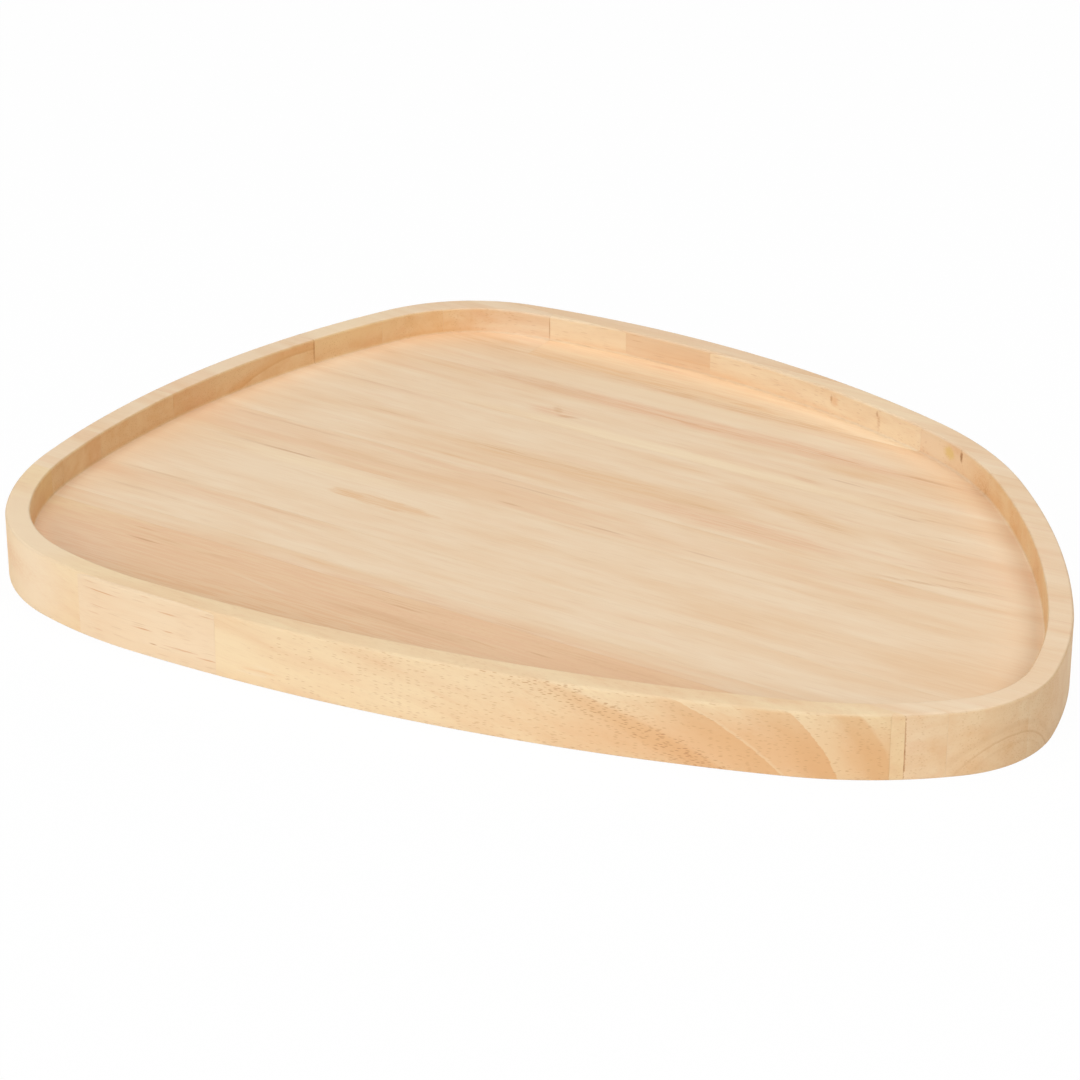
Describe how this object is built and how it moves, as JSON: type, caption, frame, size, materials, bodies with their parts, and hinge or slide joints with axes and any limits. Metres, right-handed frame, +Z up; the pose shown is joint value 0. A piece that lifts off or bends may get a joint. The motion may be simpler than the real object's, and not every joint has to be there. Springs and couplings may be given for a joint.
{
  "type": "wooden tray",
  "caption": "Shallow wooden tray with a rounded pebble outline, milled in one pocket from edge-glued staves, with a flat rim and a flat recessed floor.",
  "frame": {"origin": "centre of the outline's box on the underside", "axes": "+X along the grain towards the narrow nose, +Z up out of the recess, the long front edge faces -Y"},
  "size_m": [0.3982, 0.2998, 0.0242],
  "materials": {
    "stave_01": "clear satin oil, pale sapwood",
    "stave_02a": "clear satin oil, honey",
    "stave_02b": "clear satin oil, pale sapwood",
    "stave_03": "clear satin oil, pale honey",
    "stave_04": "clear satin oil, pale sapwood",
    "stave_05": "clear satin oil, pale honey with a brown streak",
    "stave_06": "clear satin oil, pale sapwood",
    "stave_07": "clear satin oil, pale honey",
    "stave_08": "clear satin oil, pale sapwood",
    "stave_09": "clear satin oil, tan",
    "stave_10a": "clear satin oil, orange tan",
    "stave_10b": "clear satin oil, pale honey",
    "stave_11": "clear satin oil, tan"
  },
  "bodies": {
    "root": {"stave_01": "stave_01", "stave_02a": "stave_02a", "stave_02b": "stave_02b", "stave_03": "stave_03", "stave_04": "stave_04", "stave_05": "stave_05", "stave_06": "stave_06", "stave_07": "stave_07", "stave_08": "stave_08", "stave_09": "stave_09", "stave_10a": "stave_10a", "stave_10b": "stave_10b", "stave_11": "stave_11"}
  },
  "joints": []
}
